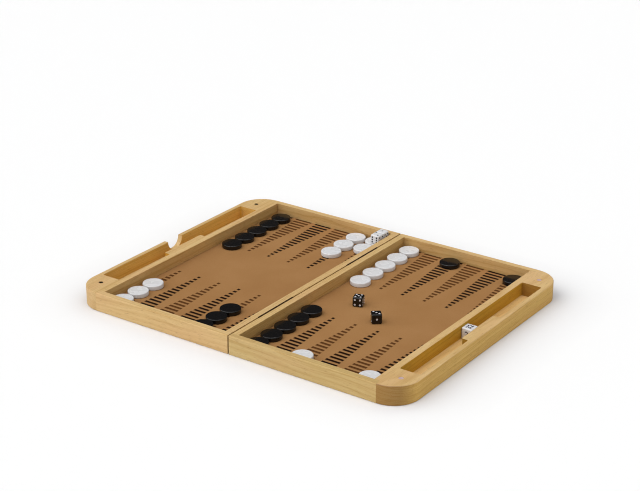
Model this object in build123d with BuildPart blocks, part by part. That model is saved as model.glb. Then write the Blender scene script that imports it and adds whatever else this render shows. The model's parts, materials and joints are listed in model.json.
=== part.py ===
import os

from build123d import *

os.makedirs("parts", exist_ok=True)

# A folding backgammon board lying open, in millimetres. X runs across both trays, Y along the
# hinge line and Z up. The origin is on the hinge line, at mid length, on the surface below.

# Trays
board_length = 381.0
tray_width = 243.5  # from the hinge line to the outer end
tray_height = 24.7
corner_radius = 35.0
edge_ease = 0.6
side_rail_thickness = 8.5
hinge_rail_thickness = 8.7
end_block_width = 43.0
rail_lap = 7.5  # how far the side rails run into the end block's rabbets
half_gap = 1.0  # each open tray stands this far from the hinge line
closing_gap = 0.3  # between the rims of the closed trays
base_thickness = 8.0
field_thickness = 1.5
field_gap = 0.4  # between the field's edges and the walls round it

# End troughs, their ribs and the thumb notch
trough_inner_wall = 9.0
trough_outer_wall = 6.5
trough_length = 288.0
trough_floor = 7.0
trough_corner_radius = 2.0
rib_length = 75.0
rib_reach = {"left": 14.5, "right": 9.0}
rib_drop = {"left": 4.0, "right": 0.0}
notch_radius = 14.5

# Magnets in the rims of the end blocks
magnet_diameter = 6.0
magnet_thickness = 3.0
magnet_from_end = 20.0
magnet_from_side = 27.5
magnet_sunk = {"left": 0.8, "right": 0.2}
magnet_fit = 0.05

# Outer faces: a draughts board, engraved with a disc on every dark square and a dot on every light one
squares_along = 8
squares_across = 4
squares_margin = 5.75  # from the hinge line to the first row of squares
disc_diameter = 33.6
dot_diameter = 4.0
disc_depth = 0.4

# Engraved points, each a ladder of bars that grow shorter towards its tip
points_across = 6
point_bars = 17
bar_pitch = 7.87
bar_thickness = 3.2
bar_base_length = 25.0
bar_tip_length = 2.8
bar_depth = 0.45
bar_off_edge = 0.2
point_margin = 2.15  # from the wall beside the field to the first point's longest bar

# Butt hinges
hinge_length = 70.0
hinge_offset = 95.0  # from mid length to the middle of each hinge
leaf_thickness = 0.9
leaf_depth = 18.0
knuckle_count = 5
knuckle_radius = 0.9
knuckle_gap = 0.3
knuckle_clearance = 0.3
pin_radius = 0.45
pin_fit = 0.08
screw_radius = 1.0
screw_head_radius = 1.8
screw_length = 6.5
screw_fit = 0.05
screws_per_leaf = 3
screw_pitch = 26.0
screw_below_axis = 11.0

# Loose pieces
checker_diameter = 27.0
checker_thickness = 6.1
checker_ease = 0.8
die_size = 13.0
die_ease = 1.3
cube_size = 15.0
cube_ease = 1.5
rest_gap = 0.1  # between a loose piece and what it stands on
cube_off_wall = 0.5
black_dice = [(61.1, -4.7, 19.4), (105.6, -32.5, 39.9)]  # where each lies, and how far it is turned
white_dice_off_middle = 4.0  # from the middle of the point beside the hinge, towards the hinge

# Worked out from the sizes above
inner_half = board_length / 2 - side_rail_thickness
field_near = half_gap + hinge_rail_thickness
field_far = tray_width - end_block_width
field_top = base_thickness + field_thickness
lap_end = field_far + rail_lap
trough_near = field_far + trough_inner_wall
trough_far = tray_width - trough_outer_wall
axis_height = tray_height + closing_gap / 2
leaf_face = half_gap - leaf_thickness
bore_radius = pin_radius + pin_fit
pocket_radius = knuckle_radius + knuckle_clearance
knuckle_length = (hinge_length - (knuckle_count - 1) * knuckle_gap) / knuckle_count
square_pitch = 2 * inner_half / squares_along
point_pitch = (field_far - field_near - 2 * point_margin - bar_base_length) / (points_across - 1)
hinge_places = (-hinge_offset, hinge_offset)
sides = {"left": -1, "right": 1}


def save(builder, label):
    builder.part.label = label
    export_step(builder.part, f"parts/{label}.step")


def block(side, near, far, low, high, bottom, top, mode=Mode.ADD):
    # near and far are distances from the hinge line, low and high are along Y
    with BuildSketch(Plane.XY.offset(bottom)) as plan:
        with Locations((side * (near + far) / 2, (low + high) / 2)):
            Rectangle(far - near, high - low)
    extrude(plan.sketch, amount=top - bottom, mode=mode)


def tray_blank(side):
    # The tray's whole outline, from which the rails and the end block are cut
    with BuildPart() as blank:
        with BuildSketch() as outline:
            with Locations((side * (half_gap + tray_width) / 2, 0)):
                Rectangle(tray_width - half_gap, board_length)
            fillet(outline.vertices().sort_by(Axis.X, reverse=side > 0)[:2], corner_radius)
        extrude(amount=tray_height)
        rims = blank.edges().filter_by(Plane.XY)
        chamfer(rims.filter_by(lambda edge: abs(edge.center().X) > half_gap + edge_ease), edge_ease)
    return blank.part


def square_centres(side, odd):
    # The draughts squares of one colour, in the outer face of one tray
    near = squares_margin + square_pitch / 2
    return [
        (side * (near + row * square_pitch), (column - (squares_along - 1) / 2) * square_pitch)
        for row in range(squares_across)
        for column in range(squares_along)
        if (row + column) % 2 == odd
    ]


def screw_places(place):
    first = place - (screws_per_leaf - 1) / 2 * screw_pitch
    return [(first + number * screw_pitch, axis_height - screw_below_axis) for number in range(screws_per_leaf)]


def bar_rows():
    # Distance along the point and length of each bar, from the base to the tip
    shorter = (bar_base_length - bar_tip_length) / (point_bars - 1)
    return [(number * bar_pitch, bar_base_length - number * shorter) for number in range(point_bars)]


for tray, side in sides.items():
    blank = tray_blank(side)
    magnet_places = [
        (side * (tray_width - magnet_from_end), end * (board_length / 2 - magnet_from_side)) for end in (-1, 1)
    ]
    dark_squares = square_centres(side, 0 if side < 0 else 1)
    light_squares = square_centres(side, 1 if side < 0 else 0)

    for end, end_name in ((-1, "front"), (1, "back")):
        with BuildPart() as side_rail:
            add(blank)
            low, high = sorted((end * board_length / 2, end * inner_half))
            block(side, half_gap, lap_end, low, high, 0, tray_height, Mode.INTERSECT)
        save(side_rail, f"{tray}_{end_name}_rail")

    with BuildPart() as hinge_rail:
        block(side, half_gap, field_near, -inner_half, inner_half, 0, tray_height)
        for place in hinge_places:
            low = place - hinge_length / 2 - knuckle_clearance
            high = place + hinge_length / 2 + knuckle_clearance
            bottom = axis_height - pocket_radius
            block(side, half_gap, pocket_radius, low, high, bottom, tray_height, Mode.SUBTRACT)
            for y, z in screw_places(place):
                with Locations(Plane(origin=(side * half_gap, y, z), z_dir=(-side, 0, 0))):
                    Hole(screw_radius + screw_fit, depth=screw_length - leaf_thickness + screw_fit)
    save(hinge_rail, f"{tray}_hinge_rail")

    with BuildPart() as end_block:
        add(blank)
        block(side, field_far, tray_width, -board_length / 2, board_length / 2, 0, tray_height, Mode.INTERSECT)
        for end in (-1, 1):
            low, high = sorted((end * board_length / 2, end * inner_half))
            block(side, field_far, lap_end, low, high, 0, tray_height, Mode.SUBTRACT)
        # The rib is left standing on the inner wall of the left trough and the outer wall of the right one
        reach = rib_reach[tray]
        rib_near = trough_near if side < 0 else trough_far - reach
        with BuildSketch(Plane.XY.offset(trough_floor)) as trough:
            with Locations((side * (trough_near + trough_far) / 2, 0)):
                Rectangle(trough_far - trough_near, trough_length)
            with Locations((side * (rib_near + reach / 2), 0)):
                Rectangle(reach, rib_length, mode=Mode.SUBTRACT)
            fillet(trough.vertices(), trough_corner_radius)
        extrude(amount=tray_height - trough_floor, mode=Mode.SUBTRACT)
        if rib_drop[tray] > 0:
            rib_top = tray_height - rib_drop[tray]
            half_rib = rib_length / 2 + trough_corner_radius
            block(side, rib_near, rib_near + reach, -half_rib, half_rib, rib_top, tray_height, Mode.SUBTRACT)
        if side < 0:
            with BuildSketch(Plane(origin=(side * tray_width, 0, tray_height), z_dir=(side, 0, 0))):
                Circle(notch_radius)
            extrude(amount=-trough_outer_wall, mode=Mode.SUBTRACT)
        with Locations(*[(x, y, tray_height) for x, y in magnet_places]):
            Hole(magnet_diameter / 2 + magnet_fit, depth=magnet_sunk[tray] + magnet_thickness)
    save(end_block, f"{tray}_end_block")

    with BuildPart() as magnets:
        with BuildSketch(Plane.XY.offset(tray_height - magnet_sunk[tray] - magnet_thickness)):
            with Locations(*magnet_places):
                Circle(magnet_diameter / 2)
        extrude(amount=magnet_thickness)
    save(magnets, f"{tray}_magnets")

    with BuildPart() as base_panel:
        block(side, field_near, field_far, -inner_half, inner_half, 0, base_thickness)
        with BuildSketch():
            with Locations(*dark_squares):
                Circle(disc_diameter / 2)
            with Locations(*light_squares):
                Circle(dot_diameter / 2)
        extrude(amount=disc_depth, mode=Mode.SUBTRACT)
    save(base_panel, f"{tray}_base_panel")

    with BuildPart() as field:
        half_length = inner_half - field_gap
        edges = (field_near + field_gap, field_far - field_gap, -half_length, half_length)
        block(side, *edges, base_thickness, field_top)
        with BuildSketch(Plane.XY.offset(field_top)):
            for column in range(points_across):
                x = field_near + point_margin + bar_base_length / 2 + column * point_pitch
                for along, length in bar_rows():
                    y = half_length - bar_off_edge - bar_thickness / 2 - along
                    with Locations((side * x, y), (side * x, -y)):
                        Rectangle(length, bar_thickness)
        extrude(amount=-bar_depth, mode=Mode.SUBTRACT)
    save(field, f"{tray}_field")

    with BuildPart() as leaves:
        for place in hinge_places:
            low, high = place - hinge_length / 2, place + hinge_length / 2
            plate_top = axis_height - pocket_radius
            block(side, leaf_face, half_gap, low, high, axis_height - leaf_depth, plate_top)
            for number in range(0 if side > 0 else 1, knuckle_count, 2):
                start = low + number * (knuckle_length + knuckle_gap)
                neck_top = axis_height - (bore_radius + knuckle_radius) / 2
                block(side, leaf_face, half_gap, start, start + knuckle_length, plate_top, neck_top)
                with BuildSketch(Plane(origin=(0, start, axis_height), z_dir=(0, 1, 0))):
                    Circle(knuckle_radius)
                    Circle(bore_radius, mode=Mode.SUBTRACT)
                extrude(amount=knuckle_length)
            for y, z in screw_places(place):
                with Locations(Plane(origin=(side * leaf_face, y, z), z_dir=(-side, 0, 0))):
                    CounterSinkHole(
                        screw_radius + screw_fit,
                        screw_head_radius + screw_fit,
                        depth=leaf_thickness,
                        counter_sink_angle=90,
                    )
    save(leaves, f"{tray}_hinge_leaves")

    with BuildPart() as screws:
        for place in hinge_places:
            for y, z in screw_places(place):
                head_depth = screw_head_radius - screw_radius
                face = Plane(origin=(side * leaf_face, y, z), z_dir=(side, 0, 0))
                with BuildSketch(face):
                    Circle(screw_head_radius)
                extrude(amount=head_depth, taper=45)
                with BuildSketch(face):
                    Circle(screw_radius)
                extrude(amount=screw_length)
    save(screws, f"{tray}_hinge_screws")

with BuildPart() as pins:
    for place in hinge_places:
        with BuildSketch(Plane(origin=(0, place - hinge_length / 2, axis_height), z_dir=(0, 1, 0))):
            Circle(pin_radius)
        extrude(amount=hinge_length)
save(pins, "hinge_pins")


def column_x(tray, column):
    # The middle of a point, counted from 1 at the hinge line
    return sides[tray] * (field_near + point_margin + bar_base_length / 2 + (column - 1) * point_pitch)


# Stacks of checkers: the point that they stand on, counted from the hinge line, the rail that they
# start from, how far they stand off the point's middle (away from the hinge, as a share of the room
# between checkers on neighbouring points), how far off the rail, the space between them, and how
# many they are
point_room = point_pitch - checker_diameter
stacks = [
    ("black", "left", 6, "back", -1.09, 6.4, 0.9, 5),
    ("white", "left", 6, "front", -0.53, 0.5, 2.0, 3),
    ("black", "left", 2, "front", 0.0, 0.5, 0.7, 3),
    ("white", "left", 2, "back", -0.11, 4.2, 2.3, 3),
    ("white", "left", 1, "back", 0.51, 0.6, 1.6, 2),
    ("white", "right", 1, "back", 0.51, 1.0, 2.2, 5),
    ("black", "right", 3, "back", 0.45, 3.3, 1.0, 1),
    ("black", "right", 6, "back", -0.04, 3.5, 1.0, 1),
    ("black", "right", 1, "front", 0.51, 0.5, 0.5, 5),
    ("white", "right", 3, "front", 0.02, 3.5, 1.0, 1),
    ("white", "right", 6, "front", -0.72, 4.9, 1.0, 1),
]
checker_bottom = field_top + rest_gap
checker_top = checker_bottom + checker_thickness
counts = {"black": 0, "white": 0}

for colour, tray, column, rail, off_middle, off_rail, space, count in stacks:
    for number in range(count):
        counts[colour] += 1
        x = column_x(tray, column) + sides[tray] * off_middle * point_room
        from_rail = off_rail + checker_diameter / 2 + number * (checker_diameter + space)
        y = (inner_half - from_rail) * (1 if rail == "back" else -1)
        with BuildPart() as checker:
            with BuildSketch(Plane((x, y, checker_bottom))):
                Circle(checker_diameter / 2)
            extrude(amount=checker_thickness)
            chamfer(checker.edges().filter_by(GeomType.CIRCLE), checker_ease)
        save(checker, f"{colour}_checker_{counts[colour]}")


def cube(x, y, bottom, size, ease, turn, label):
    with BuildPart() as body:
        with BuildSketch(Plane((x, y, bottom)).rotated((0, 0, turn))):
            Rectangle(size, size)
        extrude(amount=size)
        fillet(body.edges(), ease)
    save(body, label)


# Two dice lie on the right field. The other two stand on the outermost white checker beside the
# hinge, one against the rail, and the doubling cube stands in the right trough, beside the rib.
for number, (x, y, turn) in enumerate(black_dice, 1):
    cube(x, y, checker_bottom, die_size, die_ease, turn, f"black_die_{number}")
white_die_x = column_x("left", 1) + white_dice_off_middle
white_die_y = inner_half - checker_diameter / 2
for number, step in enumerate((-1, 1), 1):
    y = white_die_y + step * (die_size + rest_gap) / 2
    cube(white_die_x, y, checker_top + rest_gap, die_size, die_ease, 0, f"white_die_{number}")
cube_x = trough_near + cube_off_wall + cube_size / 2
cube(cube_x, 0, trough_floor + rest_gap, cube_size, cube_ease, 0, "doubling_cube")
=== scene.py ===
import json
import math

import bmesh
import bpy
from mathutils import Matrix, Vector

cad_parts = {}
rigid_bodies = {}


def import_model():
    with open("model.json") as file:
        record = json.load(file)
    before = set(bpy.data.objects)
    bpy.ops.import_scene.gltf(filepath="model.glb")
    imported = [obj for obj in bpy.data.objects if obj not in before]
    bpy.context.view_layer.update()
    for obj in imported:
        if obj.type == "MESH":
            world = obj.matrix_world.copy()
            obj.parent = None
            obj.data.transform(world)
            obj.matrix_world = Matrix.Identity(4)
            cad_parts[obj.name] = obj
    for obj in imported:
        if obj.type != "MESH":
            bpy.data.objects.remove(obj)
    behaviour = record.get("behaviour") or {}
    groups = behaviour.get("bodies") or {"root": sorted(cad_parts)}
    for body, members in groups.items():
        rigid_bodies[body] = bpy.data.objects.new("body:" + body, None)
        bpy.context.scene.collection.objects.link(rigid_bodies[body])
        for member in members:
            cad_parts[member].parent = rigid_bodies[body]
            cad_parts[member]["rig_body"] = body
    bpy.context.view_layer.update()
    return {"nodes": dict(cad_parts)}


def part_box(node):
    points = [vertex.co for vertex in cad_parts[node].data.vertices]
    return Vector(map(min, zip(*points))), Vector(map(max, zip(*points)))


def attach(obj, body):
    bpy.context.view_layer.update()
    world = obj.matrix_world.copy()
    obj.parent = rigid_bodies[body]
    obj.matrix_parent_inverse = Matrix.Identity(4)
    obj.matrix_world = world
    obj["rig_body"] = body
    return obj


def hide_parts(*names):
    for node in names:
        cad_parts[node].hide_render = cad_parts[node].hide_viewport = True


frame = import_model()
mm = 0.001
perMetre = 1000.0  # turns object coordinates into millimetres
smoothBelow = math.radians(30)  # edges sharper than this stay crisp
levelNormal = 0.999  # the least Z of a level face's normal
untinted = (1.0, 1.0, 1.0)
nodes = frame["nodes"]
trays = ("left", "right")


def hexLinear(code):
    # sRGB hex to the linear colour that the shaders take
    channels = [int(code[i:i + 2], 16) / 255 for i in (0, 2, 4)]
    return tuple(c / 12.92 if c <= 0.04045 else ((c + 0.055) / 1.055) ** 2.4 for c in channels) + (1.0,)


def addNode(tree, kind, settings=None, links=None):
    # Adds a shader node, gives it its settings and stops, and links its inputs
    node = tree.nodes.new("ShaderNode" + kind)
    for key, value in (settings or {}).items():
        if key == "stops":
            ramp = node.color_ramp
            ramp.elements[0].position, ramp.elements[1].position = value[0][0], value[-1][0]
            for place, _ in value[1:-1]:
                ramp.elements.new(place)
            for element, (_, colour) in zip(ramp.elements, value):
                element.color = colour if isinstance(colour, tuple) else (colour, colour, colour, 1.0)
        elif isinstance(key, str) and hasattr(node, key):
            setattr(node, key, value)
        else:
            node.inputs[key].default_value = value
    for key, source in (links or {}).items():
        tree.links.new(source.outputs[0] if isinstance(source, bpy.types.Node) else source, node.inputs[key])
    return node


def newMaterial(name):
    material = bpy.data.materials.new(name)
    material.use_nodes = True
    material.node_tree.nodes.clear()
    return material, material.node_tree


def millimetres(tree, turn=0.0, tilt=0.0, offset=(0.0, 0.0, 0.0)):
    # Object coordinates in millimetres, turned so that Y runs along the grain
    place = addNode(tree, "TexCoord").outputs["Object"]
    rotation = (math.radians(tilt), 0.0, 0.0) if turn == 0 else (0.0, math.radians(tilt), math.radians(turn))
    return addNode(tree, "Mapping", {
        "Scale": (perMetre, perMetre, perMetre), "Rotation": rotation, "Location": offset,
    }, {"Vector": place})


print("camera")
photoCamera = {
    "place": (1.0951, -1.5762, 0.8951),  # metres, from the hinge line at mid length
    "heading": 35.36,  # degrees, turned left from +Y
    "pitch": 23.14,  # degrees below level
    "focal": 1669.0,  # pixels
    "imageSize": (640, 491),
    "axisAt": (305.3, 244.5),  # where the view's axis meets the picture
    "sensor": 36.0,  # mm
    "nearClip": 0.05,  # metres
}


def addCamera():
    width, height = photoCamera["imageSize"]
    bpy.ops.object.camera_add(
        location=photoCamera["place"],
        rotation=(math.radians(90 - photoCamera["pitch"]), 0, math.radians(photoCamera["heading"])),
    )
    camera = bpy.context.object
    camera.name = "photoCamera"
    camera.data.sensor_width = photoCamera["sensor"]
    camera.data.lens = photoCamera["focal"] * photoCamera["sensor"] / width
    camera.data.shift_x = (width / 2 - photoCamera["axisAt"][0]) / width
    camera.data.shift_y = (photoCamera["axisAt"][1] - height / 2) / width
    camera.data.clip_start = photoCamera["nearClip"]
    bpy.context.scene.camera = camera


addCamera()

print("studio")
studio = {
    "floorColour": "F4F4F4",
    "floorSize": 30.0,  # metres
    "floorDrop": 0.0002,  # metres under the board, so that the two never share a plane
    "floorRoughness": 0.9,
    "floorGloss": 0.1,
    "shadeColour": "E2E2E4",  # the painted shade of the floor close to what stands on it
    "shadeReach": 0.08,  # metres
    "shadeFull": 0.78,  # the share of open sky at which the shade is full
    "shadeSamples": 16,
    "pixelBlur": 1.1,  # pixels, as crisp as the photograph
    "domeColour": "FFFFFF",
    "domeStrength": 0.53,
    "domeDim": 0.05,  # the unlit end of the room, low behind the board, which glossy tops mirror
    "dimTowards": (-0.53, 0.75, 0.39),
    "dimWithin": 44.0,  # degrees
    "dimFades": 72.0,
    "lampHeight": 2.0,  # metres, where the lamps' icons stand; their light is the same everywhere
    "softBox": {"strength": 0.6, "angle": 66.0, "tip": 4.0, "heading": 0.0},
    # A long strip overhead, square to the view, in three parts: it draws the thin line on each checker's rim
    "stripMiddle": {"strength": 0.22, "angle": 13.0, "tip": 1.0, "heading": 0.0},
    "stripRight": {"strength": 0.22, "angle": 13.0, "tip": 14.0, "heading": 125.4},
    "stripLeft": {"strength": 0.22, "angle": 13.0, "tip": 14.0, "heading": -54.6},
    "keyLight": {"strength": 1.75, "angle": 80.0, "tip": 56.0, "heading": -42.0},
    "fillLight": {"strength": 0.22, "angle": 90.0, "tip": 55.0, "heading": 90.0},
}


def addSun(name, settings):
    # tip leans the light from straight down, and heading turns it left from -Y, to the side it comes from
    bpy.ops.object.light_add(
        type="SUN",
        location=(0, 0, studio["lampHeight"]),
        rotation=(math.radians(settings["tip"]), 0, math.radians(settings["heading"])),
    )
    sun = bpy.context.object
    sun.name = name
    sun.data.energy = settings["strength"]
    sun.data.angle = math.radians(settings["angle"])


def addDome():
    # White to the eye, and as a light bright overhead and dim low behind the board
    world = bpy.data.worlds.new("studioDome")
    world.use_nodes = True
    tree = world.node_tree
    tree.nodes.clear()
    towards = addNode(tree, "VectorMath", {"operation": "DOT_PRODUCT", 1: studio["dimTowards"]}, {
        0: addNode(tree, "TexCoord").outputs["Generated"],
    })
    lit = addNode(tree, "MapRange", {
        "interpolation_type": "SMOOTHSTEP",
        "From Min": math.cos(math.radians(studio["dimFades"])),
        "From Max": math.cos(math.radians(studio["dimWithin"])),
        "To Min": studio["domeStrength"], "To Max": studio["domeDim"],
    }, {"Value": towards.outputs["Value"]})
    seen = addNode(tree, "LightPath").outputs["Is Camera Ray"]
    strength = addNode(tree, "MixRGB", {"Color2": (1.0, 1.0, 1.0, 1.0)}, {"Fac": seen, "Color1": lit})
    dome = addNode(tree, "Background", {"Color": hexLinear(studio["domeColour"])}, {"Strength": strength})
    addNode(tree, "OutputWorld", {}, {"Surface": dome})
    bpy.context.scene.world = world


def paperMaterial():
    # Matt white studio paper, with a soft shade painted close to what stands on it
    material, tree = newMaterial("matt white studio paper")
    sky = addNode(tree, "AmbientOcclusion", {
        "samples": studio["shadeSamples"], "Distance": studio["shadeReach"],
    }).outputs["AO"]
    clear = addNode(tree, "MapRange", {"From Min": studio["shadeFull"]}, {"Value": sky})
    paper = addNode(tree, "MixRGB", {
        "Color1": hexLinear(studio["shadeColour"]), "Color2": hexLinear(studio["floorColour"]),
    }, {"Fac": clear})
    shader = addNode(tree, "BsdfPrincipled", {
        "Roughness": studio["floorRoughness"], "Specular IOR Level": studio["floorGloss"],
    }, {"Base Color": paper})
    addNode(tree, "OutputMaterial", {}, {"Surface": shader})
    return material


def addStudio():
    bpy.ops.mesh.primitive_plane_add(size=studio["floorSize"], location=(0, 0, -studio["floorDrop"]))
    floor = bpy.context.object
    floor.name = "studioFloor"
    floor.data.materials.append(paperMaterial())
    addDome()
    bpy.context.scene.view_settings.view_transform = "Standard"
    bpy.context.scene.cycles.filter_width = studio["pixelBlur"]
    for light in ("softBox", "stripMiddle", "stripRight", "stripLeft", "keyLight", "fillLight"):
        addSun(light, studio[light])


addStudio()

print("oak")
oakLook = {
    "light": "D3B684",
    "middle": "C8A772",
    "dark": "AB8448",
    "toneStops": (0.0, 0.4, 1.0),  # how shaded the wood is where it has each of those three
    "pore": "80582B",
    "pink": "CEA57A",
    "ringWidth": 3.4,  # mm
    "ringProfile": [(0.0, 0.5), (0.12, 0.05), (0.55, 0.3), (0.86, 1.0), (1.0, 0.5)],  # dark late wood at 0.86
    "ringDrift": 9.0,  # mm, by which the rings close up and spread
    "driftPerMm": 0.12,  # how often they do
    # The size of one cell of each pattern in mm: across the grain, along it and up
    "swayCell": (24.0, 120.0, 24.0),
    "fibreCell": (0.9, 60.0, 0.9),
    "poreCell": (0.45, 9.0, 0.45),
    "patchCell": (30.0, 110.0, 30.0),
    "streakAlong": 150.0,
    "sway": (7.0, 0.0, 7.0),  # mm, how far the grain wanders
    # How much each darkens the wood, and how dark it is without them
    "ringShade": 0.35,
    "fibreShade": 0.75,
    "streakShade": 0.8,
    "baseShade": -0.55,
    # Where in its noise a pink patch begins and where it is full, and how pink it is there
    "pinkFrom": 0.45,
    "pinkFull": 0.75,
    "pinkMost": 0.45,
    # The same for a pore, which begins later in the late wood, with its depth
    "poreFrom": 0.6,
    "poreLate": 0.05,
    "poreFull": 0.72,
    "poreTint": 0.5,
    "poreRelief": -0.8,
    "endGrainAndShade": (0.55, 0.5, 0.54),  # how dark the end grain is beside the long grain, in red, green and blue; on the right end block it is also painted shade
    "endDarkening": 0.3,  # how much of that an end takes where its board has no share of its own
    "inside": (0.92, 0.82, 0.65),  # how dark the walls inside are painted, as the shade that falls inside the trays
    # Parts of a face's normal where it begins to count, and where it counts in full: along the grain for end
    # grain, up or down for an upright face, and up for a wall inside
    "endFacing": (0.15, 0.7),
    "uprightFacing": (0.6, 0.1),
    "wallFacing": (0.9, 0.2),
    "insideTo": (237.2, 182.2, 24.6),  # mm from the hinge line, from mid length and up, where the inside ends
    "insideAbove": 1.0,  # mm above the underside
    "insideFade": 0.3,  # mm
    "troughFrom": 209.2,  # mm from the hinge line
    "troughTo": 144.2,  # mm from mid length
    "troughFloor": (1.13, 1.09, 0.96),  # paler, as painted light on the troughs' floors
    "troughFloorBelow": 8.0,  # mm above the underside
    "bumpStrength": 0.25,
    "bumpDepth": 0.06,  # mm
    "roughness": (0.48, 0.62),
    "gloss": 0.1,
}
# How each board was cut: turn of its grain and its slope in degrees, where the heart of the tree lay in mm,
# its tone beside the others, how far its end grain darkens (on the end blocks also painted light and shade),
# the size of its streaks across and up in mm, and the painted shade on its upright faces and its routed
# trough's walls, in red, green and blue
oakBoards = {
    "left_front_rail": {"turn": 90, "slope": 1.4, "heart": (40, 0, 95), "streak": (5, 5)},
    "left_back_rail": {"turn": 90, "slope": -0.9, "heart": (-70, 80, 60), "streak": (5, 5)},
    "right_front_rail": {
        "turn": 90, "slope": -1.6, "heart": (55, 0, 75), "tone": (0.87, 0.9, 0.84), "streak": (5, 4),
    },
    "right_back_rail": {"turn": 90, "slope": 1.1, "heart": (-45, 60, 85), "streak": (5, 5)},
    "left_hinge_rail": {"slope": 0.6, "heart": (85, 0, 40), "tone": (0.98, 0.98, 1.0), "streak": (5, 5)},
    "right_hinge_rail": {"slope": -0.7, "heart": (66, 30, 55), "tone": (0.95, 0.95, 0.92), "streak": (5, 5)},
    # On the end blocks the trough tint paints the warm shade on the trough's walls, and on the right one the
    # full end-grain share and the upright tint paint the shade on its ends and sides
    "left_end_block": {
        "slope": 0.8, "heart": (290, 0, 70), "endGrainAndShade": 0.15, "streak": (12, 4), "trough": (1.15, 1.0, 0.36),
    },
    "right_end_block": {
        "slope": -1.0, "heart": (-190, 0, 210), "endGrainAndShade": 1.0, "streak": (16, 3),
        "trough": (0.99, 0.94, 0.42), "upright": (0.98, 0.9, 0.56),
    },
}


def insideTints(tree, facing, trough):
    # How far a point lies on a wall inside the trays or on a trough's floor, and the tint there: painted
    # shade on the walls and painted light on the troughs' floors
    reach = addNode(tree, "VectorMath", {"operation": "ABSOLUTE"}, {0: millimetres(tree)})
    out = addNode(tree, "SeparateXYZ", {}, {"Vector": reach})
    least = addNode(tree, "Math", {"operation": "SUBTRACT", 1: oakLook["insideAbove"]}, {0: out.outputs["Z"]})
    inTrough = addNode(tree, "Math", {"operation": "GREATER_THAN", 1: oakLook["troughFrom"]}, {
        0: out.outputs["X"],
    })
    toX, toY, toZ = oakLook["insideTo"]
    # Inputs 4 and 5 of this node are its two vectors
    limit = addNode(tree, "Mix", {
        "data_type": "VECTOR", 4: (toX, toY, toZ), 5: (toX, oakLook["troughTo"], toZ),
    }, {0: inTrough})
    short = addNode(tree, "VectorMath", {"operation": "SUBTRACT"}, {0: limit.outputs[1], 1: reach})
    axes = addNode(tree, "SeparateXYZ", {}, {"Vector": short})
    for axis in ("X", "Y", "Z"):
        least = addNode(tree, "Math", {"operation": "MINIMUM"}, {0: least, 1: axes.outputs[axis]})
    inside = addNode(tree, "MapRange", {"From Max": oakLook["insideFade"]}, {"Value": least})
    wallFrom, wallFull = oakLook["wallFacing"]
    wall = addNode(tree, "MapRange", {"From Min": wallFrom, "From Max": wallFull}, {
        "Value": facing.outputs["Z"],
    })
    floor = addNode(tree, "MapRange", {"From Min": wallFrom}, {"Value": facing.outputs["Z"]})
    low = addNode(tree, "Math", {"operation": "LESS_THAN", 1: oakLook["troughFloorBelow"]}, {
        0: out.outputs["Z"],
    })
    for test in (low, inTrough):
        floor = addNode(tree, "Math", {"operation": "MULTIPLY"}, {0: floor, 1: test})
    tinted = addNode(tree, "Math", {"operation": "MAXIMUM"}, {0: wall, 1: floor})
    share = addNode(tree, "Math", {"operation": "MULTIPLY"}, {0: inside, 1: tinted})
    tint = addNode(tree, "MixRGB", {
        "Color1": oakLook["inside"] + (1.0,), "Color2": trough + (1.0,),
    }, {"Fac": inTrough})
    tint = addNode(tree, "MixRGB", {"Color2": oakLook["troughFloor"] + (1.0,)}, {
        "Fac": floor, "Color1": tint,
    })
    return share, tint


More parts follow.
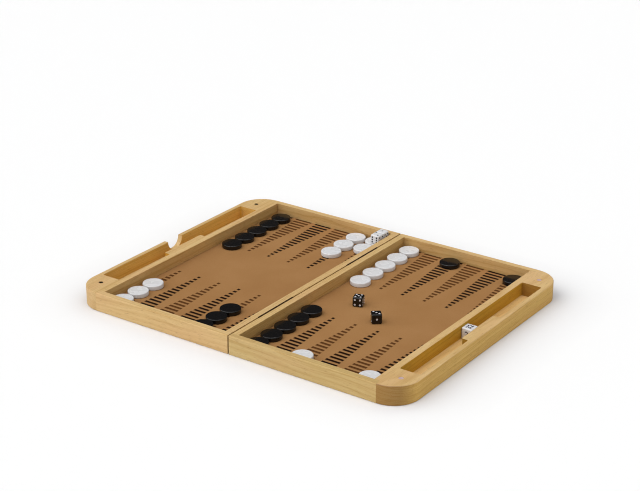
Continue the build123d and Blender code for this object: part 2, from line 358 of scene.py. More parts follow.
def oakMaterial(name, board):
    # Oiled European oak, planed and sanded: pale straight grain with fine dark pores, satin, darker ends,
    # with painted shade inside the trays and on the right end block, and painted light on the troughs' floors
    material, tree = newMaterial(name)
    turn = board.get("turn", 0)
    place = millimetres(tree, turn, board["slope"], board["heart"])
    swayCell = addNode(tree, "VectorMath", {"operation": "DIVIDE", 1: oakLook["swayCell"]}, {0: place})
    sway = addNode(tree, "TexNoise", {"Scale": 1.0, "Detail": 2.0}, {"Vector": swayCell})
    swayed = addNode(tree, "VectorMath", {"operation": "MULTIPLY_ADD", 1: oakLook["sway"]}, {
        0: sway.outputs["Color"], 2: place,
    })
    radial = addNode(tree, "VectorMath", {"operation": "MULTIPLY", 1: (1.0, 0.0, 1.0)}, {0: swayed})
    distance = addNode(tree, "VectorMath", {"operation": "LENGTH"}, {0: radial}).outputs["Value"]
    drift = addNode(tree, "TexNoise", {
        "noise_dimensions": "1D", "Scale": oakLook["driftPerMm"], "Detail": 3.0,
    }, {"W": distance})
    uneven = addNode(tree, "Math", {"operation": "MULTIPLY_ADD", 1: oakLook["ringDrift"]}, {
        0: drift.outputs["Fac"], 2: distance,
    })
    rings = addNode(tree, "Math", {"operation": "DIVIDE", 1: oakLook["ringWidth"]}, {0: uneven})
    phase = addNode(tree, "Math", {"operation": "FRACT"}, {0: rings})
    lateWood = addNode(tree, "ValToRGB", {"stops": oakLook["ringProfile"]}, {"Fac": phase})
    fibreCell = addNode(tree, "VectorMath", {"operation": "DIVIDE", 1: oakLook["fibreCell"]}, {0: swayed})
    fibre = addNode(tree, "TexNoise", {"Scale": 1.0, "Detail": 4.0, "Roughness": 0.6}, {"Vector": fibreCell})
    streakAcross, streakUp = board["streak"]
    streakCell = addNode(tree, "VectorMath", {
        "operation": "DIVIDE", 1: (streakAcross, oakLook["streakAlong"], streakUp),
    }, {0: swayed})
    streak = addNode(tree, "TexNoise", {"Scale": 1.0, "Detail": 2.0}, {"Vector": streakCell})
    shade = addNode(tree, "Math", {
        "operation": "MULTIPLY_ADD", 1: oakLook["ringShade"], 2: oakLook["baseShade"],
    }, {0: lateWood})
    for pattern, weight in ((fibre, oakLook["fibreShade"]), (streak, oakLook["streakShade"])):
        shade = addNode(tree, "Math", {"operation": "MULTIPLY_ADD", 1: weight}, {
            0: pattern.outputs["Fac"], 2: shade,
        })
    tones = [hexLinear(oakLook[tone]) for tone in ("light", "middle", "dark")]
    wood = addNode(tree, "ValToRGB", {"stops": list(zip(oakLook["toneStops"], tones))}, {"Fac": shade})
    # Broad patches that lean towards pink, as sapwood beside heartwood
    patchCell = addNode(tree, "VectorMath", {"operation": "DIVIDE", 1: oakLook["patchCell"]}, {0: swayed})
    patch = addNode(tree, "TexNoise", {"Scale": 1.0, "Detail": 1.0}, {"Vector": patchCell})
    pinkness = addNode(tree, "MapRange", {
        "From Min": oakLook["pinkFrom"], "From Max": oakLook["pinkFull"], "To Max": oakLook["pinkMost"],
    }, {"Value": patch.outputs["Fac"]})
    wood = addNode(tree, "MixRGB", {"Color2": hexLinear(oakLook["pink"])}, {"Fac": pinkness, "Color1": wood})
    # Open pores, longest along the grain and densest in the early wood
    poreCell = addNode(tree, "VectorMath", {"operation": "DIVIDE", 1: oakLook["poreCell"]}, {0: swayed})
    pores = addNode(tree, "TexNoise", {"Scale": 1.0, "Detail": 2.0, "Roughness": 0.4}, {"Vector": poreCell})
    poreStart = addNode(tree, "Math", {
        "operation": "MULTIPLY_ADD", 1: oakLook["poreLate"], 2: oakLook["poreFrom"],
    }, {0: lateWood})
    poreDepth = addNode(tree, "MapRange", {"From Max": oakLook["poreFull"]}, {
        "Value": pores.outputs["Fac"], "From Min": poreStart,
    })
    poreTint = addNode(tree, "Math", {"operation": "MULTIPLY", 1: oakLook["poreTint"]}, {0: poreDepth})
    wood = addNode(tree, "MixRGB", {"Color2": hexLinear(oakLook["pore"])}, {"Fac": poreTint, "Color1": wood})
    # End grain drinks the oil and goes darker; on the end blocks its share also paints the light and shade
    # that fall on their ends
    facing = addNode(tree, "SeparateXYZ", {}, {"Vector": addNode(tree, "TexCoord").outputs["Normal"]})
    alongGrain = addNode(tree, "Math", {"operation": "ABSOLUTE"}, {
        0: facing.outputs["Y" if turn == 0 else "X"],
    })
    endFrom, endFull = oakLook["endFacing"]
    endDarkening = addNode(tree, "MapRange", {
        "From Min": endFrom, "From Max": endFull, "To Max": board.get("endGrainAndShade", oakLook["endDarkening"]),
    }, {"Value": alongGrain})
    wood = addNode(tree, "MixRGB", {
        "blend_type": "MULTIPLY", "Color2": oakLook["endGrainAndShade"] + (1.0,),
    }, {"Fac": endDarkening, "Color1": wood})
    # The upright tint paints shade on a board's upright faces, on the right end block
    uprightFrom, uprightFull = oakLook["uprightFacing"]
    upright = addNode(tree, "MapRange", {"From Min": uprightFrom, "From Max": uprightFull}, {
        "Value": addNode(tree, "Math", {"operation": "ABSOLUTE"}, {0: facing.outputs["Z"]}),
    })
    wood = addNode(tree, "MixRGB", {
        "blend_type": "MULTIPLY", "Color2": board.get("upright", untinted) + (1.0,),
    }, {"Fac": upright, "Color1": wood})
    # Painted shade on the walls inside the trays and troughs, and painted light on the troughs' floors
    inside, tint = insideTints(tree, facing, board.get("trough", oakLook["inside"]))
    wood = addNode(tree, "MixRGB", {"blend_type": "MULTIPLY"}, {
        "Fac": inside, "Color1": wood, "Color2": tint,
    })
    wood = addNode(tree, "VectorMath", {"operation": "MULTIPLY", 1: board.get("tone", untinted)}, {0: wood})
    relief = addNode(tree, "Math", {"operation": "MULTIPLY_ADD", 1: oakLook["poreRelief"]}, {
        0: poreDepth, 2: fibre.outputs["Fac"],
    })
    bump = addNode(tree, "Bump", {
        "Strength": oakLook["bumpStrength"], "Distance": oakLook["bumpDepth"] * mm,
    }, {"Height": relief})
    smoothest, roughest = oakLook["roughness"]
    roughness = addNode(tree, "MapRange", {"To Min": smoothest, "To Max": roughest}, {
        "Value": fibre.outputs["Fac"],
    })
    shader = addNode(tree, "BsdfPrincipled", {"Specular IOR Level": oakLook["gloss"]}, {
        "Base Color": wood, "Roughness": roughness, "Normal": bump,
    })
    addNode(tree, "OutputMaterial", {}, {"Surface": shader})
    return material


def dress(node, material):
    nodes[node].data.materials.clear()
    nodes[node].data.materials.append(material)


for node, board in oakBoards.items():
    dress(node, oakMaterial(f"oiled oak, {node}", board))

print("base panels")
gameUnderside = {
    "burnt": "160D08",
    "burntWarm": "28180D",
    "burntStops": (0.3, 0.8),  # where in the soot's noise each of those two lies
    "roughness": 0.95,
    "engravedFrom": 0.06,  # mm above the underside
    "sootCell": (1.2, 14.0, 1.2),  # mm
    "boards": {
        "left": {"slope": 1.0, "heart": (120, 0, 52), "streak": (5, 5)},
        "right": {"slope": 1.0, "heart": (-95, 0, 64), "streak": (5, 5)},
    },
}


def basePanelMaterial(name, board):
    # The same oak, with the draughts board burnt into its outer face by laser: charred brown, dry and matt
    material = oakMaterial(name, board)
    tree = material.node_tree
    shader = next(node for node in tree.nodes if node.type == "BSDF_PRINCIPLED")
    wood = shader.inputs["Base Color"].links[0].from_socket
    satin = shader.inputs["Roughness"].links[0].from_socket
    place = millimetres(tree)
    height = addNode(tree, "SeparateXYZ", {}, {"Vector": place}).outputs["Z"]
    engraved = addNode(tree, "Math", {"operation": "GREATER_THAN", 1: gameUnderside["engravedFrom"]}, {
        0: height,
    })
    sootCell = addNode(tree, "VectorMath", {"operation": "DIVIDE", 1: gameUnderside["sootCell"]}, {0: place})
    soot = addNode(tree, "TexNoise", {"Scale": 1.0, "Detail": 4.0}, {"Vector": sootCell})
    burns = [hexLinear(gameUnderside[burn]) for burn in ("burnt", "burntWarm")]
    char = addNode(tree, "ValToRGB", {"stops": list(zip(gameUnderside["burntStops"], burns))}, {
        "Fac": soot.outputs["Fac"],
    })
    colour = addNode(tree, "MixRGB", {}, {"Fac": engraved, "Color1": wood, "Color2": char})
    dry = addNode(tree, "Math", {"operation": "MULTIPLY", 1: gameUnderside["roughness"]}, {0: engraved})
    roughness = addNode(tree, "Math", {"operation": "MAXIMUM"}, {0: satin, 1: dry})
    tree.links.new(colour.outputs[0], shader.inputs["Base Color"])
    tree.links.new(roughness.outputs[0], shader.inputs["Roughness"])
    return material


for tray in trays:
    board = gameUnderside["boards"][tray]
    dress(f"{tray}_base_panel", basePanelMaterial(f"laser-marked oak, {tray} base", board))

print("fields")
fieldLook = {
    "tanDark": "946B41",
    "tan": "9A7146",
    "tanLight": "A1784D",
    "tanStops": (0.3, 0.52, 0.75),  # where in the blend of its two patterns each of those three lies
    "darkBar": "1C0B03",
    "lightBar": "57361A",
    "engravedBelow": 0.1,  # mm under the field's face
    "scorch": 1.0,  # mm, how far the laser browned the face round each bar
    "bars": 17,
    "barPitch": 7.87,  # mm
    "barThickness": 3.2,  # mm
    "barLengths": (25.0, 2.8),  # mm, the first and the last
    "barOffEdge": 0.2,  # mm
    "firstColumn": 24.35,  # mm from the hinge line
    "columnPitch": 32.3,  # mm
    "pebbleCell": (0.8, 0.8, 0.8),  # mm
    "cloudCell": (55.0, 55.0, 55.0),  # mm
    "speckleCell": (0.9, 0.9, 0.9),  # mm
    "cloudShare": 0.6,
    "speckleShare": 0.45,
    "bumpStrength": 0.3,
    "bumpDepth": 0.08,  # mm
    "roughness": 0.78,
    "gloss": 0.08,
}


def offBars(tree, along, fromMiddle):
    # How far a point of a column lies outside its nearest bar, in mm; negative within it
    longest, shortest = fieldLook["barLengths"]
    last = fieldLook["bars"] - 1
    number = addNode(tree, "Math", {"operation": "DIVIDE", 1: fieldLook["barPitch"]}, {0: along})
    number = addNode(tree, "Math", {"operation": "ROUND"}, {0: number})
    number = addNode(tree, "Clamp", {"Max": last}, {"Value": number})
    middle = addNode(tree, "Math", {"operation": "MULTIPLY", 1: fieldLook["barPitch"]}, {0: number})
    beside = addNode(tree, "Math", {"operation": "SUBTRACT"}, {0: along, 1: middle})
    beside = addNode(tree, "Math", {"operation": "ABSOLUTE"}, {0: beside})
    beside = addNode(tree, "Math", {"operation": "SUBTRACT", 1: fieldLook["barThickness"] / 2}, {0: beside})
    half = addNode(tree, "MapRange", {"From Max": last, "To Min": longest / 2, "To Max": shortest / 2}, {
        "Value": number,
    })
    past = addNode(tree, "Math", {"operation": "SUBTRACT"}, {0: fromMiddle, 1: half})
    return addNode(tree, "Math", {"operation": "MAXIMUM"}, {0: beside, 1: past})


def fieldMaterial(name, tray):
    # Bonded leather, laser-engraved: an even matt tan with a fine pebble, its points charred in two browns
    material, tree = newMaterial(name)
    place = millimetres(tree)
    axes = addNode(tree, "SeparateXYZ", {}, {"Vector": place})
    cloudCell = addNode(tree, "VectorMath", {"operation": "DIVIDE", 1: fieldLook["cloudCell"]}, {0: place})
    cloud = addNode(tree, "TexNoise", {"Scale": 1.0, "Detail": 3.0}, {"Vector": cloudCell})
    speckleCell = addNode(tree, "VectorMath", {"operation": "DIVIDE", 1: fieldLook["speckleCell"]}, {
        0: place,
    })
    speckle = addNode(tree, "TexNoise", {"Scale": 1.0, "Detail": 3.0}, {"Vector": speckleCell})
    blend = addNode(tree, "Math", {"operation": "MULTIPLY", 1: fieldLook["speckleShare"]}, {0: speckle})
    blend = addNode(tree, "Math", {"operation": "MULTIPLY_ADD", 1: fieldLook["cloudShare"]}, {
        0: cloud, 2: blend,
    })
    tans = [hexLinear(fieldLook[shade]) for shade in ("tanDark", "tan", "tanLight")]
    tan = addNode(tree, "ValToRGB", {"stops": list(zip(fieldLook["tanStops"], tans))}, {"Fac": blend})
    backEdge, top = (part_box(f"{tray}_field")[1][axis] * perMetre for axis in (1, 2))
    engraved = addNode(tree, "Math", {"operation": "LESS_THAN", 1: top - fieldLook["engravedBelow"]}, {
        0: axes.outputs["Z"],
    })
    # Points alternate, dark and light, and swap between the two long sides and across the bar
    distance = addNode(tree, "Math", {"operation": "ABSOLUTE"}, {0: axes.outputs["X"]})
    column = addNode(tree, "Math", {
        "operation": "SUBTRACT", 1: fieldLook["firstColumn"] - fieldLook["columnPitch"] / 2,
    }, {0: distance})
    column = addNode(tree, "Math", {"operation": "DIVIDE", 1: fieldLook["columnPitch"]}, {0: column})
    fromEdge = addNode(tree, "Math", {"operation": "FRACT"}, {0: column})
    fromMiddle = addNode(tree, "Math", {
        "operation": "MULTIPLY_ADD", 1: fieldLook["columnPitch"], 2: -fieldLook["columnPitch"] / 2,
    }, {0: fromEdge})
    fromMiddle = addNode(tree, "Math", {"operation": "ABSOLUTE"}, {0: fromMiddle})
    column = addNode(tree, "Math", {"operation": "FLOOR"}, {0: column})
    back = addNode(tree, "Math", {"operation": "GREATER_THAN", 1: 0.0}, {0: axes.outputs["Y"]})
    swap = addNode(tree, "Math", {"operation": "ADD"}, {0: column, 1: back})
    swap = addNode(tree, "Math", {"operation": "ADD", 1: 0.0 if tray == "left" else 1.0}, {0: swap})
    light = addNode(tree, "Math", {"operation": "MODULO", 1: 2.0}, {0: swap})
    bars = addNode(tree, "MixRGB", {
        "Color1": hexLinear(fieldLook["darkBar"]), "Color2": hexLinear(fieldLook["lightBar"]),
    }, {"Fac": light})
    firstBar = backEdge - fieldLook["barOffEdge"] - fieldLook["barThickness"] / 2
    along = addNode(tree, "Math", {"operation": "SUBTRACT", 0: firstBar}, {
        1: addNode(tree, "Math", {"operation": "ABSOLUTE"}, {0: axes.outputs["Y"]}),
    })
    scorch = addNode(tree, "MapRange", {"From Min": fieldLook["scorch"], "From Max": 0.0}, {
        "Value": offBars(tree, along, fromMiddle),
    })
    tan = addNode(tree, "MixRGB", {}, {"Fac": scorch, "Color1": tan, "Color2": bars})
    colour = addNode(tree, "MixRGB", {}, {"Fac": engraved, "Color1": tan, "Color2": bars})
    pebbleCell = addNode(tree, "VectorMath", {"operation": "DIVIDE", 1: fieldLook["pebbleCell"]}, {0: place})
    pebble = addNode(tree, "TexVoronoi", {"feature": "SMOOTH_F1", "Scale": 1.0}, {"Vector": pebbleCell})
    bump = addNode(tree, "Bump", {
        "Strength": fieldLook["bumpStrength"], "Distance": fieldLook["bumpDepth"] * mm,
    }, {"Height": pebble})
    shader = addNode(tree, "BsdfPrincipled", {
        "Roughness": fieldLook["roughness"], "Specular IOR Level": fieldLook["gloss"],
    }, {"Base Color": colour, "Normal": bump})
    addNode(tree, "OutputMaterial", {}, {"Surface": shader})
    return material


for tray in trays:
    dress(f"{tray}_field", fieldMaterial(f"engraved bonded leather, {tray} field", tray))

print("metal")
metalLook = {
    # Colour, colour where it is worn, and roughness
    "hinge": ("4A3522", "7B5B3A", 0.42),
    "screw": ("8E6C3C", "B08C55", 0.32),
    # The left tray's sunk discs are painted dark, as the shade in their holes
    "disc": ("2A1E14", "3A2C1E", 0.45),
    "magnet": ("DDC2C6", "E6DEDA", 0.7),
    "cloudCell": (8.0, 12.0, 8.0),  # mm
    "lineCell": (0.3, 14.0, 0.3),  # mm
    "rubbedFrom": 0.4,  # where in the clouds the worn colour begins
    "rubbedFull": 0.8,
    "rubbedMost": 0.35,
    "lineShare": 0.3,  # how much of it shows in the lines
    "roughnessSpread": (-0.05, 0.1),
    "bumpStrength": 0.2,
    "bumpDepth": 0.02,  # mm
}


def metalMaterial(name, kind):
    # Rolled sheet and wire under a thin finish: fine lines along the roll, paler where hands have rubbed it
    colour, worn, roughness = metalLook[kind]
    material, tree = newMaterial(name)
    place = millimetres(tree)
    cloudCell = addNode(tree, "VectorMath", {"operation": "DIVIDE", 1: metalLook["cloudCell"]}, {0: place})
    cloud = addNode(tree, "TexNoise", {"Scale": 1.0, "Detail": 2.0}, {"Vector": cloudCell})
    lineCell = addNode(tree, "VectorMath", {"operation": "DIVIDE", 1: metalLook["lineCell"]}, {0: place})
    lines = addNode(tree, "TexNoise", {"Scale": 1.0, "Detail": 2.0}, {"Vector": lineCell})
    rubbed = addNode(tree, "MapRange", {
        "From Min": metalLook["rubbedFrom"], "From Max": metalLook["rubbedFull"],
        "To Max": metalLook["rubbedMost"],
    }, {"Value": cloud.outputs["Fac"]})
    mask = addNode(tree, "Math", {"operation": "MULTIPLY_ADD", 1: metalLook["lineShare"]}, {
        0: lines.outputs["Fac"], 2: rubbed,
    })
    tint = addNode(tree, "MixRGB", {"Color1": hexLinear(colour), "Color2": hexLinear(worn)}, {"Fac": mask})
    smoother, rougher = metalLook["roughnessSpread"]
    grain = addNode(tree, "MapRange", {"To Min": roughness + smoother, "To Max": roughness + rougher}, {
        "Value": lines.outputs["Fac"],
    })
    bump = addNode(tree, "Bump", {
        "Strength": metalLook["bumpStrength"], "Distance": metalLook["bumpDepth"] * mm,
    }, {"Height": lines.outputs["Fac"]})
    shader = addNode(tree, "BsdfPrincipled", {"Metallic": 1.0}, {
        "Base Color": tint, "Roughness": grain, "Normal": bump,
    })
    addNode(tree, "OutputMaterial", {}, {"Surface": shader})
    return material


bronze = metalMaterial("antiqued brass hinge", "hinge")
brass = metalMaterial("lacquered brass screw", "screw")
for tray in trays:
    dress(f"{tray}_hinge_leaves", bronze)
    dress(f"{tray}_hinge_screws", bronze)
dress("hinge_pins", bronze)
# The left tray's sunk discs carry the painted shade of their holes
dress("left_magnets", metalMaterial("blackened steel disc", "disc"))
dress("right_magnets", metalMaterial("nickel-plated magnet", "magnet"))

print("resin")
resinLook = {
    "black": {"colour": "0B0A0A", "cloud": "0F0D0E", "roughness": 0.15, "gloss": 0.38},
    "white": {"colour": "D6D6D8", "cloud": "D5D5D6", "roughness": 0.26, "gloss": 0.35},
    "cloudCell": (14.0, 14.0, 14.0),  # mm
    "markCell": (9.0, 9.0, 9.0),  # mm
    "marks": (0.3, 0.75),  # where handling starts to dull it, and where it is dullest
    "dulled": 0.03,  # the roughness that handling adds
}


def resinMaterial(kind):
    # Cast resin, tumbled and polished: an even colour, smooth and glossy, a little duller where it is handled
    look = resinLook[kind]
    material, tree = newMaterial(f"polished {kind} resin")
    place = millimetres(tree)
    cloudCell = addNode(tree, "VectorMath", {"operation": "DIVIDE", 1: resinLook["cloudCell"]}, {0: place})
    clouding = addNode(tree, "TexNoise", {"Scale": 1.0, "Detail": 3.0}, {"Vector": cloudCell})
    tint = addNode(tree, "MixRGB", {
        "Color1": hexLinear(look["colour"]), "Color2": hexLinear(look["cloud"]),
    }, {"Fac": clouding.outputs["Fac"]})
    markCell = addNode(tree, "VectorMath", {"operation": "DIVIDE", 1: resinLook["markCell"]}, {0: place})
    marks = addNode(tree, "TexNoise", {"Scale": 1.0, "Detail": 1.0}, {"Vector": markCell})
    marksFrom, marksFull = resinLook["marks"]
    polish = addNode(tree, "MapRange", {
        "From Min": marksFrom, "From Max": marksFull,
        "To Min": look["roughness"], "To Max": look["roughness"] + resinLook["dulled"],
    }, {"Value": marks.outputs["Fac"]})
    shader = addNode(tree, "BsdfPrincipled", {"Specular IOR Level": look["gloss"]}, {
        "Base Color": tint, "Roughness": polish,
    })
    addNode(tree, "OutputMaterial", {}, {"Surface": shader})
    return material


resins = {kind: resinMaterial(kind) for kind in ("black", "white")}

print("enamel")
enamelLook = {"unevenCell": (0.7, 0.7, 0.7), "roughness": 0.6, "gloss": 0.3}  # the cell in mm


def paintMaterial(name, colour, worn):
    # Matt enamel wiped into the sunk marks of the dice: thin, a little uneven
    material, tree = newMaterial(name)
    unevenCell = addNode(tree, "VectorMath", {"operation": "DIVIDE", 1: enamelLook["unevenCell"]}, {
        0: millimetres(tree),
    })
    uneven = addNode(tree, "TexNoise", {"Scale": 1.0, "Detail": 2.0}, {"Vector": unevenCell})
    tint = addNode(tree, "MixRGB", {"Color1": hexLinear(colour), "Color2": hexLinear(worn)}, {
        "Fac": uneven.outputs["Fac"],
    })
    shader = addNode(tree, "BsdfPrincipled", {
        "Roughness": enamelLook["roughness"], "Specular IOR Level": enamelLook["gloss"],
    }, {"Base Color": tint})
    addNode(tree, "OutputMaterial", {}, {"Surface": shader})
    return material


def deselectAll():
    bpy.ops.object.select_all(action="DESELECT")


def makeActive(piece):
    deselectAll()
    piece.select_set(True)
    bpy.context.view_layer.objects.active = piece


def applyModifier(piece, kind, settings):
    # Adds a modifier, sets it and applies it
    makeActive(piece)
    modifier = piece.modifiers.new(kind.lower(), kind)
    for key, value in settings.items():
        setattr(modifier, key, value)
    bpy.ops.object.modifier_apply(modifier=modifier.name)


def selectFaces(piece, chosen):
    # In edit mode, selects only the faces that the test picks
    bpy.ops.mesh.select_mode(type="FACE")
    bpy.ops.mesh.select_all(action="DESELECT")
    mesh = bmesh.from_edit_mesh(piece.data)
    for face in mesh.faces:
        face.select_set(chosen(face))
    bmesh.update_edit_mesh(piece.data)


def placedCopy(original, name, place, turn=0.0):
    # A copy with its own mesh, turned and moved there in its mesh
    makeActive(original)
    bpy.ops.object.duplicate()
    piece = bpy.context.object
    piece.name = name
    piece.location = place
    piece.rotation_euler = (0, 0, math.radians(turn))
    bpy.ops.object.transform_apply(location=True, rotation=True, scale=False)
    return piece


def standIn(piece, node):
    # The piece takes the place of the CAD node, on the same body
    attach(piece, nodes[node]["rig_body"])
    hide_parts(node)


def middleOf(node):
    low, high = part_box(node)
    return (low + high) / 2


print("hinge screws")
screwLook = {
    "sides": 48,
    "headRadius": 1.8,  # mm
    "headDepth": 0.8,  # mm
    "shankRadius": 1.0,  # mm
    "tip": 1.2,  # mm
    "tipShare": 0.15,  # of the shank's width, at the very point
    "recess": (2.3, 0.55, 0.6),  # mm, length, width and depth of each arm of the cross
    "recessShare": 0.5,  # of that width, at its bottom
    "leaves": (-95.0, 95.0),  # mm from mid length to the middle of each leaf
    "perLeaf": 3,
    "pitch": 26.0,  # mm
    "turnEach": 37.0,  # degrees from one screw's cross to the next, as a hand leaves them
}


def modelScrew(length):
    # A countersunk wood screw with its head's face at the origin and its point down
    head, shank = screwLook["headRadius"] * mm, screwLook["shankRadius"] * mm
    headDepth, tip = screwLook["headDepth"] * mm, screwLook["tip"] * mm
    deselectAll()
    bpy.ops.mesh.primitive_cylinder_add(
        vertices=screwLook["sides"], radius=shank, depth=length - headDepth - tip,
        location=(0, 0, -(length + headDepth - tip) / 2),
    )
    screw = bpy.context.object
    bpy.ops.object.transform_apply(location=True)
    bpy.ops.object.mode_set(mode="EDIT")
    for direction, rise, spread in ((1, headDepth, head / shank), (-1, -tip, screwLook["tipShare"])):
        selectFaces(screw, lambda face: face.normal.z * direction > levelNormal)
        bpy.ops.mesh.extrude_region_move(TRANSFORM_OT_translate={"value": (0, 0, rise)})
        bpy.ops.transform.resize(value=(spread, spread, 1), center_override=(0, 0, 0))
    bpy.ops.object.mode_set(mode="OBJECT")
    long, wide, deep = (size * mm for size in screwLook["recess"])
    for arm in ((long, wide, 2 * deep), (wide, long, 2 * deep)):
        deselectAll()
        bpy.ops.mesh.primitive_cube_add(size=1, location=(0, 0, 0))
        cutter = bpy.context.object
        cutter.scale = arm
        bpy.ops.object.transform_apply(scale=True)
        bpy.ops.object.mode_set(mode="EDIT")
        selectFaces(cutter, lambda face: face.normal.z < -levelNormal)
        narrowed = screwLook["recessShare"]
        bpy.ops.transform.resize(value=(narrowed, narrowed, 1), center_override=(0, 0, 0))
        bpy.ops.object.mode_set(mode="OBJECT")
        applyModifier(screw, "BOOLEAN", {"operation": "DIFFERENCE", "solver": "EXACT", "object": cutter})
        bpy.data.objects.remove(cutter)
    makeActive(screw)
    bpy.ops.object.shade_smooth_by_angle(angle=smoothBelow)
    screw.data.materials.append(brass)
    return screw


def driveScrews(tray, side):
    # Three screws through each leaf into the tray's hinge rail, with their heads flush in the leaf
    low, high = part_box(f"{tray}_hinge_screws")
    screw = modelScrew(high.x - low.x)
    face = low.x if side > 0 else high.x
    copies = []
    for middle in screwLook["leaves"]:
        for number in range(screwLook["perLeaf"]):
            along = middle + (number - (screwLook["perLeaf"] - 1) / 2) * screwLook["pitch"]
            makeActive(screw)
            bpy.ops.object.duplicate()
            driven = bpy.context.object
            lean = Matrix.Rotation(math.radians(-90 * side), 4, "Y")
            cross = Matrix.Rotation(math.radians(screwLook["turnEach"] * (len(copies) + 1)), 4, "Z")
            driven.matrix_world = Matrix.Translation((face, along * mm, (low.z + high.z) / 2)) @ lean @ cross
            bpy.ops.object.transform_apply(location=True, rotation=True, scale=False)
            copies.append(driven)
    deselectAll()
    for driven in copies:
        driven.select_set(True)
    bpy.ops.object.join()
    driven = bpy.context.object
    driven.name = f"{tray}_hinge_screw_set"
    standIn(driven, f"{tray}_hinge_screws")
    bpy.data.objects.remove(screw)


for tray, side in (("left", -1), ("right", 1)):
    driveScrews(tray, side)

print("checkers")
checkerLook = {
    "sides": 96,
    "edge": 1.1,  # mm, radius of the rounded rim
    "edgeSteps": 5,
    "bevelAbove": 60.0,  # degrees, the edges that are rounded
    "land": 0.4,  # mm, the ring between the rounded rim and the face, which keeps the face's shading flat
}


def modelChecker(material):
    low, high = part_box("black_checker_1")
    radius = (high.x - low.x) / 2
    deselectAll()
    bpy.ops.mesh.primitive_cylinder_add(
        vertices=checkerLook["sides"], radius=radius, depth=high.z - low.z, location=(0, 0, 0),
    )
    disc = bpy.context.object
    applyModifier(disc, "BEVEL", {
        "width": checkerLook["edge"] * mm, "segments": checkerLook["edgeSteps"],
        "limit_method": "ANGLE", "angle_limit": math.radians(checkerLook["bevelAbove"]),
    })
    bpy.ops.object.mode_set(mode="EDIT")
    selectFaces(disc, lambda face: abs(face.normal.z) > levelNormal)
    bpy.ops.mesh.inset(thickness=checkerLook["land"] * mm)
    bpy.ops.object.mode_set(mode="OBJECT")
    bpy.ops.object.shade_smooth_by_angle(angle=smoothBelow)
    disc.data.materials.append(material)
    return disc


for colour, resin in resins.items():
    disc = modelChecker(resin)
    for node in nodes:
        if node.startswith(f"{colour}_checker"):
            standIn(placedCopy(disc, f"{node}_disc", middleOf(node)), node)
    bpy.data.objects.remove(disc)

print("dice")
diceLook = {
    "corner": 1.8,  # mm, radius of the tumbled edges
    "cornerSteps": 5,
    "pipAcross": 2.5,  # mm
    "pipDepth": 0.45,  # mm
    "pipSpread": 3.3,  # mm, from the middle of a face to its outer pips
    "pipSides": (24, 16),  # round the ball that cuts each pip, and from pole to pole
    "enamel": {
        "black": ("white enamel in pips", "D8D6D8", "B9B5B8"),
        "white": ("black enamel in pips", "151316", "242026"),
    },
    "sides": {
        "black_die_1": (19.4, "black", {"up": 5, "front": 4, "right": 6}),  # turn in degrees, colour, values
        "black_die_2": (39.9, "black", {"up": 3, "front": 1, "right": 5}),
        "white_die_1": (0.0, "white", {"up": 2, "front": 6, "right": 4}),
        "white_die_2": (0.0, "white", {"up": 1, "front": 3, "right": 5}),
    },
}
paints = {colour: paintMaterial(*enamel) for colour, enamel in diceLook["enamel"].items()}
markedSmoothBelow = math.radians(28)  # in place of smoothBelow, on the dice and the doubling cube
# For each side: its normal, and the directions across and up it
cubeSides = {
    "up": (Vector((0, 0, 1)), Vector((1, 0, 0)), Vector((0, 1, 0))),
    "front": (Vector((0, -1, 0)), Vector((1, 0, 0)), Vector((0, 0, 1))),
    "right": (Vector((1, 0, 0)), Vector((0, 1, 0)), Vector((0, 0, 1))),
    "down": (Vector((0, 0, -1)), Vector((-1, 0, 0)), Vector((0, 1, 0))),
    "back": (Vector((0, 1, 0)), Vector((-1, 0, 0)), Vector((0, 0, 1))),
    "left": (Vector((-1, 0, 0)), Vector((0, -1, 0)), Vector((0, 0, 1))),
}
oppositeSides = {"up": "down", "front": "back", "right": "left"}


def pipPlaces(value):
    # Where the pips lie on a side, in steps of the spread
    places = [(0, 0)] if value % 2 else []
    if value > 1:
        places += [(-1, 1), (1, -1)]
    if value > 3:
        places += [(-1, -1), (1, 1)]
    if value == 6:
        places += [(-1, 0), (1, 0)]
    return places


def roundedCube(size, corner, steps, material):
    deselectAll()
    bpy.ops.mesh.primitive_cube_add(size=size, location=(0, 0, 0))
    block = bpy.context.object
    applyModifier(block, "BEVEL", {"width": corner * mm, "segments": steps})
    block.data.materials.append(material)
    return block


def carve(block, cutter):
    # Cuts the marks out of the block, and leaves the cutter's paint in them
    applyModifier(block, "BOOLEAN", {
        "operation": "DIFFERENCE", "solver": "EXACT", "object": cutter, "material_mode": "TRANSFER",
    })
    bpy.data.objects.remove(cutter)
    bpy.ops.object.shade_smooth_by_angle(angle=markedSmoothBelow)
    applyModifier(block, "WEIGHTED_NORMAL", {"keep_sharp": True})


def modelDie(size, colour, values):
    half = size / 2
    depth = diceLook["pipDepth"] * mm
    reach = diceLook["pipAcross"] * mm / 2
    ball = (reach ** 2 + depth ** 2) / (2 * depth)  # radius of the sphere that leaves such a hollow
    balls = []
    spread = diceLook["pipSpread"] * mm
    segments, rings = diceLook["pipSides"]
    # Opposite sides add up to 7
    hidden = [(oppositeSides[side], 7 - value) for side, value in values.items()]
    for side, value in list(values.items()) + hidden:
        normal, across, up = cubeSides[side]
        for u, v in pipPlaces(value):
            deselectAll()
            bpy.ops.mesh.primitive_uv_sphere_add(
                segments=segments, ring_count=rings, radius=ball,
                location=normal * (half - depth + ball) + (across * u + up * v) * spread,
            )
            balls.append(bpy.context.object)
    deselectAll()
    for ballPiece in balls:
        ballPiece.select_set(True)
    bpy.ops.object.join()
    cutter = bpy.context.object
    cutter.data.materials.append(paints[colour])
    die = roundedCube(size, diceLook["corner"], diceLook["cornerSteps"], resins[colour])
    carve(die, cutter)
    return die


for node, (turn, colour, values) in diceLook["sides"].items():
    low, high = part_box(node)
    die = modelDie(high.z - low.z, colour, values)
    standIn(placedCopy(die, f"{node}_cube", middleOf(node), turn), node)
    bpy.data.objects.remove(die)

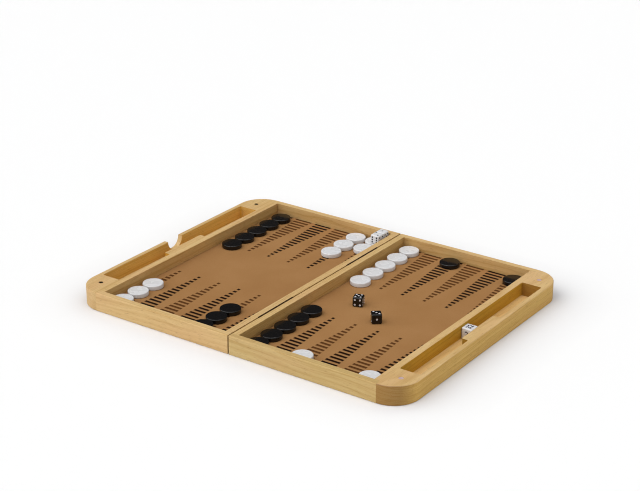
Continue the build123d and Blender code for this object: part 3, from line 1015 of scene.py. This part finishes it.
print("doubling cube")
doublingLook = {
    "corner": 1.6,  # mm
    "cornerSteps": 5,
    "digitSize": 10.2,  # type size in mm, so figures about 7.2 mm tall
    "digitWeight": 0.25,  # mm added all round each stroke
    "digitDepth": 0.35,  # mm
    "digitSteps": 5,  # along each curve of a figure
    "weld": 0.001,  # mm
    "enamel": ("violet-grey enamel in figures", "2B2334", "3D3547"),
    "numbers": {"up": "32", "front": "2", "right": "64", "down": "4", "back": "16", "left": "8"},
    "turns": {"up": 90.0, "front": 0.0, "right": 0.0, "down": 90.0, "back": 180.0, "left": 90.0},
}


def modelDoublingCube(size):
    half = size / 2
    depth = doublingLook["digitDepth"] * mm
    digits = []
    for side, number in doublingLook["numbers"].items():
        normal, across, up = cubeSides[side]
        deselectAll()
        bpy.ops.object.text_add(location=(0, 0, 0))
        figures = bpy.context.object
        figures.data.body = number
        figures.data.size = doublingLook["digitSize"] * mm
        figures.data.extrude = depth
        figures.data.offset = doublingLook["digitWeight"] * mm
        figures.data.resolution_u = doublingLook["digitSteps"]
        bpy.ops.object.convert(target="MESH")
        figures = bpy.context.object
        bpy.ops.object.mode_set(mode="EDIT")
        bpy.ops.mesh.select_all(action="SELECT")
        bpy.ops.mesh.remove_doubles(threshold=doublingLook["weld"] * mm)
        bpy.ops.mesh.normals_make_consistent(inside=False)
        bpy.ops.object.mode_set(mode="OBJECT")
        bpy.ops.object.origin_set(type="ORIGIN_GEOMETRY", center="BOUNDS")
        lean = Matrix((across, up, normal)).transposed().to_4x4()
        spin = Matrix.Rotation(math.radians(doublingLook["turns"][side]), 4, "Z")
        figures.matrix_world = Matrix.Translation(normal * half) @ lean @ spin
        bpy.ops.object.transform_apply(location=True, rotation=True, scale=False)
        digits.append(figures)
    deselectAll()
    for figures in digits:
        figures.select_set(True)
    bpy.ops.object.join()
    cutter = bpy.context.object
    cutter.data.materials.append(paintMaterial(*doublingLook["enamel"]))
    cube = roundedCube(size, doublingLook["corner"], doublingLook["cornerSteps"], resins["white"])
    carve(cube, cutter)
    return cube


low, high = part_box("doubling_cube")
cube = modelDoublingCube(high.z - low.z)
placedCube = placedCopy(cube, "doubling_cube_figures", middleOf("doubling_cube"))
standIn(placedCube, "doubling_cube")
bpy.data.objects.remove(cube)

# The pieces modelled here hide these nodes, which still carry their finish
for node in nodes:
    if node.startswith("black"):
        dress(node, resins["black"])
    elif node.startswith("white") or node == "doubling_cube":
        dress(node, resins["white"])
